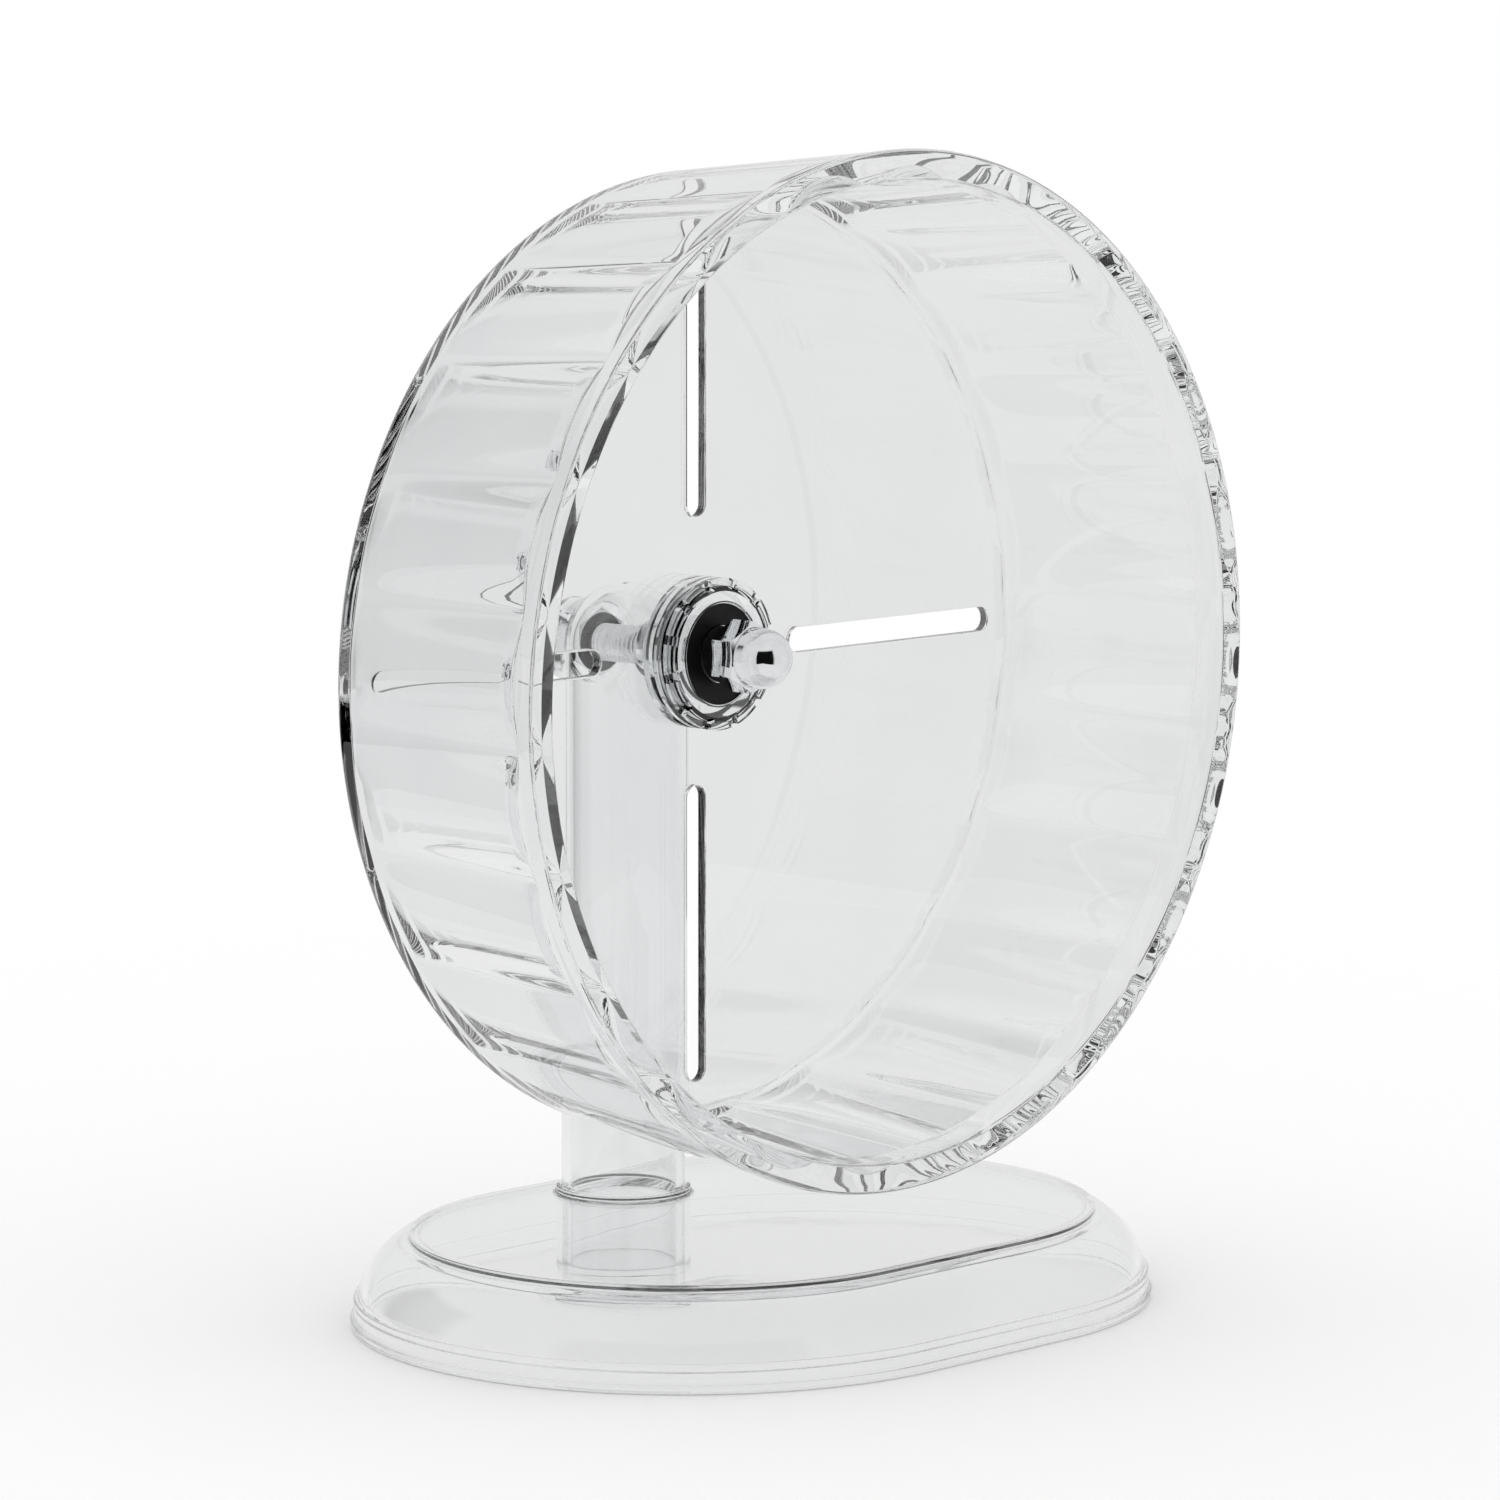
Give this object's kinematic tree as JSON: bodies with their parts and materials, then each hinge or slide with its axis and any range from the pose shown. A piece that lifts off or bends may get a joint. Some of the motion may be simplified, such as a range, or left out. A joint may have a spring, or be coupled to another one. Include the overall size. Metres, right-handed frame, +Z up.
{
  "type": "hamster wheel",
  "caption": "Clear plastic running wheel for a small pet: a fluted drum with a slotted back disc that spins on a ball bearing, held by a post on a rounded base.",
  "frame": {"origin": "middle of the base's footprint, on the surface that it stands on", "axes": "+Z up, +Y along the axle from the open front of the wheel to the post, +X to the right as seen from the front"},
  "size_m": [0.21, 0.1366, 0.2397],
  "materials": {
    "clear_plastic": "clear polished",
    "zinc_steel": "bright zinc plated",
    "bearing_steel": "ground",
    "seal_rubber": "smooth satin",
    "cage_nylon": "matte",
    "spacer_nylon": "satin",
    "nut_chrome": "polished"
  },
  "bodies": {
    "stand": {"base": "clear_plastic", "post": "clear_plastic", "axle_bolt": "zinc_steel", "bearing_stop_nut": "zinc_steel", "bearing_inner_race": "bearing_steel", "front_spacer": "spacer_nylon", "acorn_nut": "nut_chrome"},
    "wheel": {"wheel_drum": "clear_plastic", "hub_housing": "clear_plastic", "hub_lock_ring": "clear_plastic", "bearing_outer_race": "bearing_steel", "bearing_front_seal": "seal_rubber", "bearing_rear_seal": "seal_rubber"},
    "ball_set": {"bearing_cage": "cage_nylon", "bearing_ball_1": "bearing_steel", "bearing_ball_2": "bearing_steel", "bearing_ball_3": "bearing_steel", "bearing_ball_4": "bearing_steel", "bearing_ball_5": "bearing_steel", "bearing_ball_6": "bearing_steel", "bearing_ball_7": "bearing_steel"}
  },
  "joints": [
    {"name": "wheel_spin", "type": "hinge", "parent": "stand", "child": "wheel", "pos_m": [0, 0.0134, 0.1347], "axis": [0, -1, 0], "continuous": true},
    {"name": "ball_orbit", "type": "hinge", "parent": "stand", "child": "ball_set", "pos_m": [0, 0.0134, 0.1347], "axis": [0, -1, 0], "continuous": true}
  ],
  "couplings": [
    {"joint": "ball_orbit", "follows": "wheel_spin", "ratio": 0.6323}
  ]
}
